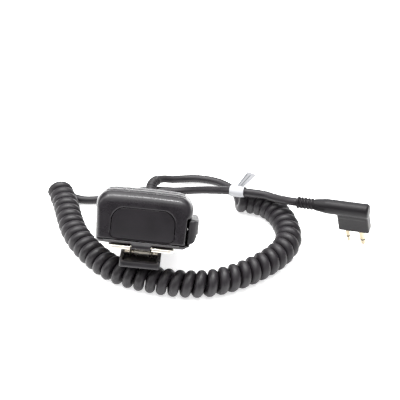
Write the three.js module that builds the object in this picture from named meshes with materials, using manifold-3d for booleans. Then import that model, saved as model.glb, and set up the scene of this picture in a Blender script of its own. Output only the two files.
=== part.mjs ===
// Hand microphone with a spring clip, a push-to-talk bar, a curly cord and a two-pin plug.
// Units are millimetres, +Z is up, and z = 0 is the table that it lies on.
// The microphone lies on its back, pitched and slightly rolled: the clip's lever rests on the
// curly cord and the rear corner of the cord end rests on the table.
import * as THREE from 'three';
import Module from 'manifold-3d';
import { mergeVertices } from 'three/addons/utils/BufferGeometryUtils.js';
import { ParametricGeometry } from 'three/addons/geometries/ParametricGeometry.js';

const wasm = await Module();
wasm.setup();

// ---------------------------------------------------------------- driving dimensions
const BODY_LENGTH = 80.5;        // along the microphone, head end to cord end
const WALL = 2.0;                // shell wall
const PARTING_Z = 2.6;           // height of the parting line above the back
const PITCH_DEG = 24.1;          // head end up
const ROLL_DEG = 6;              // push-to-talk side down
const ORIGIN = [4.3203, 31.7574, 0]; // shift of the whole scene so that the origin is under the body's centre
const HEAD_AT = [1.317, -6.344, 33.426];  // middle of the head end's rear edge, before the shift
const GAP = 0.3;                 // clearance between pieces that touch
const SPK_Y = 18.6;              // speaker's centre

const PTT_TRAVEL = 1.0;
const CLIP_WIDTH = 34;
const PLATE_TOP = -0.35;
const PLATE_BOTTOM = -2.05;
const LEVER_WIDTH = 21.4;
const LEVER_LOW = -12.6;         // outer face of the lever's finger pad
const PIN_Y = 22;                // clip hinge
const PIN_Z = -9.3;
const CORD_D = 4.7;
const COIL_D = 15;
const COIL_R_Z = COIL_D / 2;

// ---------------------------------------------------------------- small helpers
const V = (x, y, z) => new THREE.Vector3(x, y, z);

function solid(geometry, matrix) {
  let g = geometry.index ? geometry.clone() : geometry.clone();
  for (const k of Object.keys(g.attributes)) if (k !== 'position') g.deleteAttribute(k);
  g = mergeVertices(g, 1e-4);
  if (matrix) g.applyMatrix4(matrix);
  const ix = g.index.array, tris = [];
  for (let i = 0; i < ix.length; i += 3) {
    const a = ix[i], b = ix[i + 1], c = ix[i + 2];
    if (a !== b && b !== c && a !== c) tris.push(a, b, c);
  }
  return new wasm.Manifold(new wasm.Mesh({
    numProp: 3,
    vertProperties: Float32Array.from(g.attributes.position.array),
    triVerts: Uint32Array.from(tris),
  }));
}

function geometryOf(manifold) {
  const m = manifold.getMesh();
  const g = new THREE.BufferGeometry();
  g.setAttribute('position', new THREE.BufferAttribute(Float32Array.from(m.vertProperties), 3));
  g.setIndex(new THREE.BufferAttribute(Uint32Array.from(m.triVerts), 1));
  g.computeVertexNormals();
  return g;
}

const at = (x, y, z) => new THREE.Matrix4().makeTranslation(x, y, z);

function box(x0, x1, y0, y1, z0, z1) {
  return solid(new THREE.BoxGeometry(x1 - x0, y1 - y0, z1 - z0),
    at((x0 + x1) / 2, (y0 + y1) / 2, (z0 + z1) / 2));
}

// A cylinder from point a to point b.
function rod(a, b, r, sides = 20, r2 = r) {
  const d = b.clone().sub(a);
  const m = new THREE.Matrix4().compose(a.clone().add(b).multiplyScalar(0.5),
    new THREE.Quaternion().setFromUnitVectors(V(0, 1, 0), d.clone().normalize()), V(1, 1, 1));
  return solid(new THREE.CylinderGeometry(r2, r, d.length(), sides), m);
}
const rodZ = (x, y, z0, z1, r, n = 20) => rod(V(x, y, z0), V(x, y, z1), r, n);
const rodX = (x0, x1, y, z, r, n = 16) => rod(V(x0, y, z), V(x1, y, z), r, n);
const rodY = (x, y0, y1, z, r, n = 20) => rod(V(x, y0, z), V(x, y1, z), r, n);

// An outline in the local XY plane given thickness along Z.
function slab(points, z0, z1) {
  const s = new THREE.Shape(points.map(([x, y]) => new THREE.Vector2(x, y)));
  return solid(new THREE.ExtrudeGeometry(s, { depth: z1 - z0, bevelEnabled: false }), at(0, 0, z0));
}

// An outline in the local YZ plane given thickness along X.
function sideSlab(points, x0, x1) {
  const s = new THREE.Shape(points.map(([y, z]) => new THREE.Vector2(y, z)));
  const m = new THREE.Matrix4().makeBasis(V(0, 1, 0), V(0, 0, 1), V(1, 0, 0)).setPosition(x0, 0, 0);
  return solid(new THREE.ExtrudeGeometry(s, { depth: x1 - x0, bevelEnabled: false }), m);
}

function roundedRect(x0, x1, y0, y1, r, n = 4) {
  const p = [];
  for (const [cx, cy, a0] of [[x1 - r, y0 + r, -90], [x1 - r, y1 - r, 0], [x0 + r, y1 - r, 90], [x0 + r, y0 + r, 180]])
    for (let i = 0; i <= n; i++) {
      const a = (a0 + 90 * i / n) * Math.PI / 180;
      p.push([cx + r * Math.cos(a), cy + r * Math.sin(a)]);
    }
  return p;
}

// A tube of round section along a smooth curve.
function tube(points, d, steps, sides) {
  const curve = new THREE.CatmullRomCurve3(points, false, 'centripetal');
  const s = new THREE.Shape();
  for (let i = 0; i < sides; i++) {
    const a = 2 * Math.PI * i / sides, x = d / 2 * Math.cos(a), y = d / 2 * Math.sin(a);
    if (i) s.lineTo(x, y); else s.moveTo(x, y);
  }
  return new THREE.ExtrudeGeometry(s, { steps, bevelEnabled: false, extrudePath: curve });
}

const materials = {
  shell: { color: 0x3a373b, roughness: 0.62, metalness: 0 },
  ptt: { color: 0x454247, roughness: 0.7, metalness: 0 },
  inlay: { color: 0x363338, roughness: 0.55, metalness: 0 },
  rubber: { color: 0x2b292c, roughness: 0.8, metalness: 0 },
  cord: { color: 0x343136, roughness: 0.5, metalness: 0 },
  nickel: { color: 0xe9e2d6, roughness: 0.25, metalness: 1 },
  steel: { color: 0xb9b9bd, roughness: 0.3, metalness: 1 },
  brass: { color: 0xd9c8a4, roughness: 0.25, metalness: 1 },
  lever: { color: 0x2d2b2f, roughness: 0.6, metalness: 0 },
  board: { color: 0x1f5a34, roughness: 0.6, metalness: 0 },
  paper: { color: 0xf2f2f0, roughness: 0.8, metalness: 0 },
  cone: { color: 0x202020, roughness: 0.9, metalness: 0 },
  magnet: { color: 0x8d9094, roughness: 0.4, metalness: 1 },
  white: { color: 0xe8e4d8, roughness: 0.6, metalness: 0 },
};

const root = new THREE.Group();
const scene = new THREE.Group();
scene.position.set(-ORIGIN[0], -ORIGIN[1], ORIGIN[2]);
root.add(scene);
const pitched = new THREE.Group();
pitched.position.set(...HEAD_AT);
pitched.rotation.x = -PITCH_DEG * Math.PI / 180;
scene.add(pitched);
const mic = new THREE.Group();
mic.rotation.y = ROLL_DEG * Math.PI / 180;
pitched.add(mic);

function piece(parent, name, shape, finish) {
  const g = shape.getMesh ? geometryOf(shape) : shape;
  const mesh = new THREE.Mesh(g, new THREE.MeshStandardMaterial(materials[finish]));
  mesh.name = name;
  parent.add(mesh);
  return mesh;
}

// ---------------------------------------------------------------- the body's outer form
// Each row: distance from the head end, half width, height of the front, shoulder radius, height of the back.
const RINGS = [
  [0.0, 22.3, 22.4, 5.0, 1.7],
  [0.8, 23.6, 24.5, 6.0, 0.8],
  [2.2, 24.4, 26.0, 7.0, 0.2],
  [4.5, 24.9, 27.0, 7.6, 0],
  [8.0, 25.15, 27.3, 8.0, 0],
  [14, 25.2, 27.1, 8.6, 0],
  [20, 25.1, 26.3, 9.2, 0],
  [26, 24.8, 24.8, 9.6, 0],
  [32, 24.3, 22.8, 9.6, 0],
  [42, 23.2, 19.9, 9.0, 0],
  [54, 22.0, 17.2, 8.0, 0],
  [65, 21.1, 15.3, 7.0, 0],
  [73.5, 20.5, 14.2, 6.4, 0],
  [77.5, 20.0, 13.6, 5.9, 0.1],
  [79.7, 19.2, 12.9, 5.2, 0.7],
  [BODY_LENGTH, 17.8, 11.9, 4.4, 1.7],
];
const DRAFT = 0.9;       // the sides lean out from back to front
const BACK_R = 2.4;
const CROWN = 0.35;

function ringAt(y) {
  let i = 0;
  while (i < RINGS.length - 2 && y > RINGS[i + 1][0]) i++;
  const a = RINGS[i], b = RINGS[i + 1], t = Math.min(1, Math.max(0, (y - a[0]) / (b[0] - a[0])));
  return a.map((v, k) => v + (b[k] - v) * t);
}

function section([, h, zt, rt, z0], inset) {
  h -= inset; zt -= inset; z0 += inset; rt = Math.max(1.5, rt - 0.8 * inset);
  const rb = Math.max(0.6, BACK_R - 0.9 * inset), p = [];
  const arc = (cx, cz, r, a0, n) => {
    for (let i = 0; i <= n; i++) {
      const a = (a0 + 90 * i / n) * Math.PI / 180;
      p.push([cx + r * Math.cos(a), cz + r * Math.sin(a)]);
    }
  };
  arc(h - DRAFT - rb, z0 + rb, rb, -90, 2);
  arc(h - rt, zt - rt, rt, 0, 5);
  const w = h - rt;
  for (const k of [0.5, 0, -0.5]) p.push([w * k, zt + CROWN * (1 - k * k)]);
  arc(-h + rt, zt - rt, rt, 90, 5);
  arc(-h + DRAFT + rb, z0 + rb, rb, 180, 2);
  return p;
}

// A closed loft through the rings; inset makes the cavity.
function loft(rows, inset) {
  const rings = rows.map((r) => [r[0], section(r, inset)]);
  const n = rings[0][1].length, last = rings.length - 1;
  const centre = (k) => {
    const q = rings[k][1];
    return V(0, rings[k][0], (q[0][1] + q[Math.floor(n / 2) - 1][1]) / 2);
  };
  const f = (u, v, target) => {
    const k = Math.round(v * (last + 2)) - 1, i = (n - Math.round(u * n)) % n;
    if (k < 0) return target.copy(centre(0));
    if (k > last) return target.copy(centre(last));
    const [x, z] = rings[k][1][i];
    return target.set(x, rings[k][0], z);
  };
  return solid(new ParametricGeometry(f, n, last + 2));
}
const outer = loft(RINGS, 0);

const innerRows = [2.1, 4.5, 8, 14, 20, 26, 32, 42, 54, 65, 73.5, BODY_LENGTH - 2.1].map((y) => {
  const r = ringAt(y); r[0] = y; return r;
});
const inner = loft(innerRows, WALL);

const above = box(-40, 40, -5, 90, PARTING_Z + 0.15, 60);
const below = box(-40, 40, -5, 90, -10, PARTING_Z - 0.15);

// ---------------------------------------------------------------- the cord exit, shared by both shells
const EXIT_Z = 7.0;
const exitHole = rodY(0, 73.5, 86, EXIT_Z, 3.75, 20);

// ---------------------------------------------------------------- screws through the back
const CASE_SCREWS = [[-19.6, 8.6], [18.2, 49], [-16.6, 72], [16.6, 72]];

// ---------------------------------------------------------------- front shell
let front = outer.intersect(above).subtract(inner);
// the wall behind the push-to-talk bar
front = front.add(box(20.2, 22.4, 1.2, 46, PARTING_Z + 0.15, 22.9).intersect(outer));
front = front.subtract(sideSlab([[-3, PARTING_Z - 1], [44.4, PARTING_Z - 1], [44.4, 10.6], [2.4, 16.9], [-3, 17.4]], 22.2, 40));
front = front.subtract(box(19, 24, 19, 27, 6.8, 12.2));
// the speaker's seat ring
let seat = rodZ(0, SPK_Y, 20.3, 30, 16.3, 32).subtract(rodZ(0, SPK_Y, 18, 32, 14.1, 32));
front = front.add(seat.intersect(outer.intersect(box(-40, 40, 0.6, 60, 0, 26.4))).intersect(loft(RINGS, 0.8)));
// five long grooves across the head, with sound slots at their bottoms
const GROOVE_Y = [7.2, 12.2, 17.2, 22.2, 27.2];
const GROOVE_HALF = [20.4, 20.2, 19.4, 18.2, 16.6];
GROOVE_Y.forEach((y, i) => {
  const r = ringAt(y), h = GROOVE_HALF[i];
  front = front.subtract(slab(roundedRect(-h, h, y - 1.0, y + 1.0, 0.95, 3), r[2] - 1.0, 32));
  const s = Math.min(11.5, Math.sqrt(Math.max(0, 13.2 ** 2 - (y - SPK_Y) ** 2)));
  front = front.subtract(slab(roundedRect(-s, s, y - 0.6, y + 0.6, 0.55, 2), 17, 32));
});
// the microphone's sound hole
front = front.subtract(rodZ(0, 55, 10, 25, 0.9, 12));
// screw posts
for (const [x, y] of CASE_SCREWS) {
  const top = ringAt(y)[2] - 1.0;
  let post = rodZ(x, y, PARTING_Z + 0.15, top, 2.9, 14).subtract(rodZ(x, y, 0, PARTING_Z + 8, 1.35, 12));
  front = front.add(post.intersect(outer)).subtract(rodZ(x, y, 0, PARTING_Z + 7.5, 1.35, 12));
}
front = front.subtract(exitHole);
// the shallow seat of the end inlay
const inlayOutline = [];
{
  const arc = (cx, cz, r, a0, n) => {
    for (let i = 0; i <= n; i++) {
      const a = (a0 + 90 * i / n) * Math.PI / 180;
      inlayOutline.push([cx + r * Math.cos(a), cz + r * Math.sin(a)]);
    }
  };
  arc(13.7, 6.2, 2.6, -90, 3); arc(9.3, 12.9, 6.8, 0, 6); arc(-9.3, 12.9, 6.8, 90, 6); arc(-13.7, 6.2, 2.6, 180, 3);
}
// an outline in the local XZ plane with its thickness along Y
function endSlab(points, y0, y1, grow = 0) {
  const c = [0, 12.5];
  const s = new THREE.Shape(points.map(([x, z]) => {
    const dx = x - c[0], dz = z - c[1], l = Math.hypot(dx, dz);
    return new THREE.Vector2(x + grow * dx / l, z + grow * dz / l);
  }));
  const m = new THREE.Matrix4().makeBasis(V(1, 0, 0), V(0, 0, 1), V(0, -1, 0)).setPosition(0, y1, 0);
  return solid(new THREE.ExtrudeGeometry(s, { depth: y1 - y0, bevelEnabled: false }), m);
}
front = front.subtract(endSlab(inlayOutline, -1, 0.9, 0.3));
piece(mic, 'front_shell', front, 'shell');
piece(mic, 'end_inlay', endSlab(inlayOutline, -0.1, 0.6), 'inlay');

// ---------------------------------------------------------------- rear shell
let rear = outer.intersect(below).subtract(inner);
for (const [x, y] of CASE_SCREWS) {
  rear = rear.add(rodZ(x, y, 1.5, PARTING_Z - 0.15, 3.0, 14).intersect(outer));
  rear = rear.subtract(rodZ(x, y, -2, 10, 1.55, 12)).subtract(rodZ(x, y, -2, 1.4, 2.7, 14));
}
// the raised block that fills the notch of the clip's plate
rear = rear.add(box(-5.1, 5.1, 1.0, 4.2, -1.9, 1.4));
// posts that take the clip's two screws
const CLIP_SCREWS = [[-6, 38], [6, 38]];
for (const [x, y] of CLIP_SCREWS)
  rear = rear.add(rodZ(x, y, 1.5, 5.4, 3, 14)).subtract(rodZ(x, y, -2, 4.2, 1.35, 12));
rear = rear.subtract(exitHole);
piece(mic, 'rear_shell', rear, 'shell');

CASE_SCREWS.forEach(([x, y], i) => {
  let s = rodZ(x, y, 0.15, 1.1, 2.35, 14).add(rodZ(x, y, 1.0, 10.4 - 2.1, 1.05, 10));
  s = s.subtract(box(x - 1.5, x + 1.5, y - 0.28, y + 0.28, -1, 0.65)).subtract(box(x - 0.28, x + 0.28, y - 1.5, y + 1.5, -1, 0.65));
  piece(mic, `case_screw_${i + 1}`, s, 'steel');
});

// ---------------------------------------------------------------- speaker
let frame = rodZ(0, SPK_Y, 18.2, 19.2, 15.3, 32)
  .add(rod(V(0, SPK_Y, 13.8), V(0, SPK_Y, 18.3), 9.6, 24, 14.2))
  .subtract(rod(V(0, SPK_Y, 14.8), V(0, SPK_Y, 19.4), 8.6, 24, 13.5))
  .subtract(rodZ(0, SPK_Y, 10, 20, 6.3, 20));
piece(mic, 'speaker_frame', frame, 'steel');
piece(mic, 'speaker_magnet', rodZ(0, SPK_Y, 8.6, 13.5, 8.6, 24).subtract(rodZ(0, SPK_Y, 10.7, 15, 5.2, 20)), 'magnet');
{
  const prof = [[0, 15.0], [4.4, 14.7], [5.4, 15.6], [12.0, 18.5], [12.4, 18.5], [12.8, 18.8], [12.8, 19.1], [11.6, 19.0], [5.2, 16.1], [4.2, 15.3], [0, 15.7]]
    .map(([r, z]) => new THREE.Vector2(r, z));
  const m = new THREE.Matrix4().makeRotationX(Math.PI / 2).setPosition(0, SPK_Y, 0);
  piece(mic, 'speaker_cone', solid(new THREE.LatheGeometry(prof, 24), m), 'cone');
}
piece(mic, 'speaker_gasket', rodZ(0, SPK_Y, 19.5, 20.0, 15.2, 32).subtract(rodZ(0, SPK_Y, 19, 22, 14.2, 32)), 'rubber');
piece(mic, 'dust_felt', rodZ(0, SPK_Y, 19.4, 19.8, 13.8, 24), 'cone');

// ---------------------------------------------------------------- circuit board, microphone capsule, switch
let board = slab(roundedRect(-19, 17.4, 13.6, 61, 1.5, 2), 6.4, 7.6);
board = board.subtract(rodZ(18.2, 49, 5, 9, 3.6, 14)).subtract(box(16, 18, 17, 30, 5, 9));
piece(mic, 'circuit_board', board, 'board');
piece(mic, 'mic_capsule', rodZ(0, 55, 9.2, 12.6, 3.0, 18), 'magnet');
piece(mic, 'mic_boot', rodZ(0, 55, 8.8, 13.6, 4.2, 18).subtract(rodZ(0, 55, 8, 12.95, 3.3, 18)).subtract(rodZ(0, 55, 8, 16, 0.9, 12)), 'rubber');
piece(mic, 'board_connector', box(-13, -7, 56, 60, 7.9, 11.4).subtract(box(-12, -8, 58, 61, 8.9, 10.6)), 'white');
let sw = box(10, 15.4, 20, 26, 7.9, 13.0).subtract(rodX(12.6, 17, 23, 10.0, 1.75, 14));
piece(mic, 'ptt_switch', sw, 'lever');
piece(mic, 'ptt_plunger', rodX(14.0, 17.6, 23, 10.0, 1.45, 14), 'white');

// the push-to-talk bar: a long rounded bar with a stem that passes through the inner wall
{
  const prof = [[23.5, 3.2], [25.2, 3.25], [26.6, 4.1], [27.5, 5.8], [28.1, 8.5], [28.55, 11.5], [28.7, 13.2], [28.2, 14.9], [27.0, 15.8], [25.4, 16.2], [23.5, 16.2]];
  const m = new THREE.Matrix4().makeBasis(V(1, 0, 0), V(0, 0, 1), V(0, -1, 0)).setPosition(0, 43.4, 0);
  let ptt = solid(new THREE.ExtrudeGeometry(new THREE.Shape(prof.map(([x, z]) => new THREE.Vector2(x, z))),
    { depth: 41.0, bevelEnabled: false }), m);
  // both ends are rounded in plan
  ptt = ptt.intersect(slab([[20, 2.4], [25.8, 2.4], [27.2, 3.2], [28.1, 4.8], [28.5, 7.4], [28.8, 14], [28.8, 32], [28.5, 38.4], [28.0, 41.2], [26.8, 42.8], [25.4, 43.4], [20, 43.4]], 0, 30));
  // the bar is lower towards the cord end
  ptt = ptt.intersect(sideSlab([[2.0, 3.0], [44, 3.0], [44, 8.8], [42, 9.8], [4.2, 16.1], [2.0, 15.2]], 15, 32));
  // three finger ridges
  for (const y of [16, 23, 30]) ptt = ptt.add(sideSlab(roundedRect(y - 1, y + 1, 5.4, 10.9, 0.9, 2), 26, 28.75));
  ptt = ptt.add(box(19.6, 23.6, 19.4, 26.6, 7.2, 11.8)).add(box(17.9, 19.8, 17.8, 28.2, 7.2, 11.8));
  piece(mic, 'ptt_button', ptt, 'ptt');
}

// the short cable from the cord exit to the board's connector
piece(mic, 'inner_cable', tube([V(0, 74.5, EXIT_Z), V(-0.5, 72.6, EXIT_Z + 0.1), V(-2.6, 69.4, EXIT_Z + 0.8), V(-7.3, 65.0, 9.3), V(-10, 61.9, 9.6)], 2.8, 8, 8), 'cord');

// ---------------------------------------------------------------- spring clip
// the plate, with a notch at the finger end and two ears for the hinge pin
const half = CLIP_WIDTH / 2;
const plateOutline = [
  [-5.5, 0.2], [-5.5, 4.8], [5.5, 4.8], [5.5, 0.2], [half - 2.5, 0.2], [half - 0.8, 0.9], [half, 2.6], [half, 9],
  [half - 3.5, 14], [11.5, 20], [11.5, 49], [10.5, 51.2], [8.5, 52], [-8.5, 52], [-10.5, 51.2], [-11.5, 49], [-11.5, 20],
  [-half + 3.5, 14], [-half, 9], [-half, 2.6], [-half + 0.8, 0.9], [-half + 2.5, 0.2],
];
let plate = slab(plateOutline, PLATE_BOTTOM, PLATE_TOP);
const EAR_X = 5.2, EAR_T = 0.9;
for (const s of [-1, 1]) {
  const x0 = s > 0 ? EAR_X : -EAR_X - EAR_T;
  plate = plate.add(sideSlab([[17.6, PLATE_BOTTOM + 0.4], [17.6, -5.0], [20.2, -9.3], [20.5, -10.3], [21.3, -10.9], [22.0, -11.05], [22.7, -10.9], [23.5, -10.3], [23.8, -9.3], [26.4, -5.0], [26.4, PLATE_BOTTOM + 0.4]], x0, x0 + EAR_T));
}
plate = plate.subtract(rodX(-12, 12, PIN_Y, PIN_Z, 1.25, 14));
for (const [x, y] of CLIP_SCREWS) plate = plate.subtract(rodZ(x, y, -4, 2, 1.5, 12));
piece(mic, 'clip_plate', plate, 'nickel');
CLIP_SCREWS.forEach(([x, y], i) => {
  let s = rodZ(x, y, -3.4, PLATE_BOTTOM - 0.2, 2.5, 14).add(rodZ(x, y, -2.5, 3.6, 1.05, 10));
  s = s.subtract(box(x - 1.5, x + 1.5, y - 0.28, y + 0.28, -4, -2.85)).subtract(box(x - 0.28, x + 0.28, y - 1.5, y + 1.5, -4, -2.85));
  piece(mic, `clip_screw_${i + 1}`, s, 'steel');
});
piece(mic, 'clip_pin', rodX(-10.4, 10.4, PIN_Y, PIN_Z, 0.95, 14), 'nickel');

// the torsion spring: its winding, closed up to a sleeve round the pin, and its two short arms
let spring = rodX(-4.7, 4.7, PIN_Y, PIN_Z, 1.65, 16).subtract(rodX(-6, 6, PIN_Y, PIN_Z, 1.2, 16));
spring = spring.add(rod(V(-4.2, PIN_Y - 1.1, PIN_Z + 0.9), V(-4.2, PIN_Y - 5.4, -2.8), 0.4, 8));
spring = spring.add(rod(V(4.2, PIN_Y - 1.1, PIN_Z - 0.75), V(4.2, PIN_Y - 2.4, -10.15), 0.35, 8));
piece(mic, 'clip_spring', spring, 'steel');

// the lever: finger lip, web, two cheeks and the jaw
const LEVER_Y0 = 2.6, LEVER_Y1 = 46.5;
const lw = LEVER_WIDTH / 2;
const webOut = [[LEVER_Y0 + 1.1, LEVER_LOW], [24, LEVER_LOW], [33, -9.6], [44.6, -4.8], [46.2, -3.6], [46.5, -2.4], [44.2, -2.4], [42.6, -3.7], [33, -8.1], [24, -11.4], [6.8, -11.4], [6.0, -8.0], [4.2, -7.4], [LEVER_Y0 + 0.2, -8.2], [LEVER_Y0, -11.2], [LEVER_Y0 + 0.3, LEVER_LOW + 0.5]];
let lever = sideSlab(webOut, -lw, lw);
const cheek = [[3.6, -11.8], [24, -11.8], [33, -8.9], [40, -5.7], [37, -6.0], [33, -7.2], [26, -7.8], [24.2, -6.9], [22, -6.5], [19.4, -6.1], [8, -7.6], [4.0, -7.9]];
for (const s of [-1, 1]) {
  const x0 = s > 0 ? lw - 1.7 : -lw;
  lever = lever.add(sideSlab(cheek, x0, x0 + 1.7));
}
lever = lever.subtract(rodX(-12, 12, PIN_Y, PIN_Z, 1.25, 14));
// the corners of the lip are rounded off
for (const s of [-1, 1]) {
  const cut = slab([[s * (lw + 1), 0], [s * (lw - 1.4), 0], [s * (lw - 1.4), 2.6], [s * (lw - 0.4), 3.2], [s * lw, 4.4], [s * (lw + 1), 4.4]].reverse(), -14, 0);
  lever = lever.subtract(cut.volume() > 0 ? cut : slab([[s * (lw + 1), 0], [s * (lw - 1.4), 0], [s * (lw - 1.4), 2.6], [s * (lw - 0.4), 3.2], [s * lw, 4.4], [s * (lw + 1), 4.4]], -14, 0));
}
piece(mic, 'clip_lever', lever, 'lever');


// ---------------------------------------------------------------- curly cord
// One cord: the lead from the microphone, the curl, and the tail that ends in the plug.
const COIL_ROUTE = [[-51.2, 78.6], [-49.6, 74.5], [-46.6, 66.5], [-43.8, 56.0], [-41.4, 47.0], [-38.4, 38.6], [-34.4, 30.6], [-29.6, 23.0], [-24.4, 16.4], [-18.6, 10.2], [-11.0, 4.7], [-3.0, 1.0], [5.1, -1.5], [15.8, -4.2], [26.4, -5.4], [37, -4.6], [46.4, -1.5], [55.1, 2.9], [63.0, 8.1], [70.2, 14.2], [76.0, 21.0], [79.9, 28.6], [81.0, 36.5], [80.0, 44.5], [77.4, 52.6], [73.1, 59.6], [67.5, 64.6], [61.4, 67.2], [54.6, 67.5]];
const LEAD_ROUTE = [[7.35, 88.95, 7.2], [10.4, 90.8, 6.3], [14.8, 92.5, 4.7], [20.8, 94.8, 3.4], [28.0, 96.2, 2.7], [35.3, 95.6, 2.4], [42.5, 93.0, 2.4], [48.4, 88.6, 2.4], [52.0, 83.2, 2.4], [53.6, 79.4, 2.4], [54.4, 75.1, 2.4]];
const TAIL_ROUTE = [[-42.2, 76.5, 2.4], [-38.6, 75.5, 2.4], [-33.7, 75.0, 2.4], [-27.0, 75.6, 2.4], [-18.0, 79.2, 2.4], [-8.0, 83.0, 2.4], [2.0, 84.6, 2.4], [10.0, 84.2, 2.4], [16.6, 82.6, 3.0], [24.5, 80.9, 5.0], [34.6, 75.2, 9.6], [41.5, 70.3, 13.0], [48.3, 65.3, 16.4], [54.0, 62.6, 17.8], [60.5, 61.1, 18.1], [69.2, 58.9, 18.0], [76.6, 54.9, 18.8], [82.0, 50.6, 20.2], [85.4, 47.4, 21.5]];
piece(scene, 'coil_cord', tube(COIL_ROUTE.map(([x, y]) => V(x, y, COIL_R_Z)), COIL_D, 44, 12), 'cord');
piece(scene, 'cord_lead', tube(LEAD_ROUTE.map((p) => V(...p)), CORD_D, 12, 8), 'cord');
piece(scene, 'cord_tail', tube(TAIL_ROUTE.map((p) => V(...p)), CORD_D, 20, 8), 'cord');

// the ribbed strain relief: a flange inside the shells, a neck and a flexible boot that bends over the tail
const toScene = new THREE.Matrix4().compose(V(...HEAD_AT),
  new THREE.Quaternion().setFromEuler(new THREE.Euler(-PITCH_DEG * Math.PI / 180, 0, 0))
    .multiply(new THREE.Quaternion().setFromEuler(new THREE.Euler(0, ROLL_DEG * Math.PI / 180, 0))), V(1, 1, 1));
const inScene = (x, y, z) => V(x, y, z).applyMatrix4(toScene);
const RELIEF = [inScene(0, 75.4, EXIT_Z), inScene(0, 78, EXIT_Z), inScene(0, 81, EXIT_Z), V(2.3, 74.6, 7.5), V(2.7, 78.6, 7.6), V(3.2, 82.4, 7.95), V(4.5, 85.7, 7.85), V(6.6, 88.3, 7.45)];
{
  const curve = new THREE.CatmullRomCurve3(RELIEF, false, 'centripetal');
  let r = solid(tube(RELIEF, 5.4, 14, 12));
  const ring = (t, w, rad) => {
    const c = curve.getPointAt(t), d = curve.getTangentAt(t).multiplyScalar(w / 2);
    return rod(c.clone().sub(d), c.clone().add(d), rad, 16);
  };
  const flangeA = inScene(0, 75.8, EXIT_Z), flangeB = inScene(0, 77.4, EXIT_Z);
  r = r.add(rod(flangeA, flangeB, 4.4, 18));
  r = r.add(rod(inScene(0, 77.0, EXIT_Z), inScene(0, 80.8, EXIT_Z), 3.4, 18));
  for (let i = 0; i < 6; i++) r = r.add(ring(0.42 + 0.096 * i, 1.25, 3.35 - 0.07 * i));
  piece(scene, 'cord_relief', r, 'rubber');
}

// ---------------------------------------------------------------- the paper tag folded round the tail
{
  const c0 = V(49.4, 64.7, 16.75), c1 = V(57.2, 61.75, 18.0);
  const u = c1.clone().sub(c0).normalize();
  let tag = rod(c0, c1, 3.15, 14).subtract(rod(c0.clone().sub(u), c1.clone().add(u), 2.75, 14));
  const up = V(0, 0.28, 0.96), side = new THREE.Vector3().crossVectors(u, up).normalize();
  const w = new THREE.Vector3().crossVectors(side, u).normalize();
  const s = new THREE.Shape([[3.2, 2.85], [7.8, 2.85], [16.5, 11.2], [10.0, 12.6]].map(([a, b]) => new THREE.Vector2(a, b)));
  const m = new THREE.Matrix4().makeBasis(u, w, new THREE.Vector3().crossVectors(u, w));
  m.setPosition(c0.clone().addScaledVector(new THREE.Vector3().crossVectors(u, w), -0.2));
  tag = tag.add(solid(new THREE.ExtrudeGeometry(s, { depth: 0.4, bevelEnabled: false }), m));
  piece(scene, 'cord_tag', tag, 'paper');
}

// ---------------------------------------------------------------- two-pin plug
// It stands on its pins' tips: X runs along the cord, Z is against the pins.
const PLUG_X = V(0.92017, -0.37177, 0.12275).normalize();
const PLUG_DOWN = V(0.19, 0.15, -0.97).normalize();
const PLUG_TIP = V(115.8, 40.8, 0.05);
const PIN_DROP = 26;             // from the plug's axis to the first pin's tip
const PIN_PITCH = 8.3;
const SHOULDER = -16.2;
const plug = new THREE.Group();
{
  const z = PLUG_DOWN.clone().negate();
  const y = new THREE.Vector3().crossVectors(z, PLUG_X).normalize();
  const x = new THREE.Vector3().crossVectors(y, z).normalize();
  const m = new THREE.Matrix4().makeBasis(x, y, z).setPosition(PLUG_TIP.clone().addScaledVector(z, PIN_DROP));
  m.decompose(plug.position, plug.quaternion, plug.scale);
  scene.add(plug);
}
let body = rodX(-10.2, 12.8, 0, 0, 4.2, 24).add(rod(V(12.7, 0, 0), V(14.0, 0, 0), 4.2, 24, 3.1));
body = body.add(rod(V(-16.4, 0, 0), V(-10.1, 0, 0), 3.35, 24, 4.2)).add(rodX(-26.9, -16.2, 0, 0, 2.75, 16));
for (let i = 0; i < 6; i++) body = body.add(rodX(-26.9 + 1.95 * i, -25.75 + 1.95 * i, 0, 0, i ? 3.3 : 3.45, 16));
body = body.add(slab(roundedRect(-4.2, 13.4, -3.2, 3.2, 1.0, 2), SHOULDER, -1));
body = body.subtract(rodZ(0, 0, -30, SHOULDER + 4.2, 1.45, 14)).subtract(rodZ(PIN_PITCH, 0, -30, SHOULDER + 4.2, 1.95, 16));
piece(plug, 'plug_body', body, 'rubber');
function plugPin(x, name, r, tip, n) {
  const ringAtZ = tip + 3.9;
  piece(plug, `${name}_sleeve`, rodZ(x, 0, ringAtZ + 0.95, SHOULDER + 4.0, r, n), 'brass');
  piece(plug, `${name}_insulator`, rodZ(x, 0, ringAtZ + 0.1, ringAtZ + 0.85, r, n), 'rubber');
  const p = [[0, 0], [r * 0.42, 0.12], [r * 0.72, 0.7], [r * 0.78, 1.3], [r * 0.66, 2.3], [r * 0.72, 2.9], [r * 0.94, 3.5], [r * 0.94, 3.9], [0, 3.9]]
    .map(([a, b]) => new THREE.Vector2(a, b));
  const m = new THREE.Matrix4().makeRotationX(Math.PI / 2).setPosition(x, 0, tip);
  piece(plug, `${name}_tip`, solid(new THREE.LatheGeometry(p, n), m), 'brass');
}
plugPin(0, 'pin_small', 1.25, -PIN_DROP, 14);
plugPin(PIN_PITCH, 'pin_large', 1.75, -PIN_DROP - 1.02, 16);

export default root;
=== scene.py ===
import bpy, bmesh, math
import numpy as np
from mathutils import Vector, Matrix, noise


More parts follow.
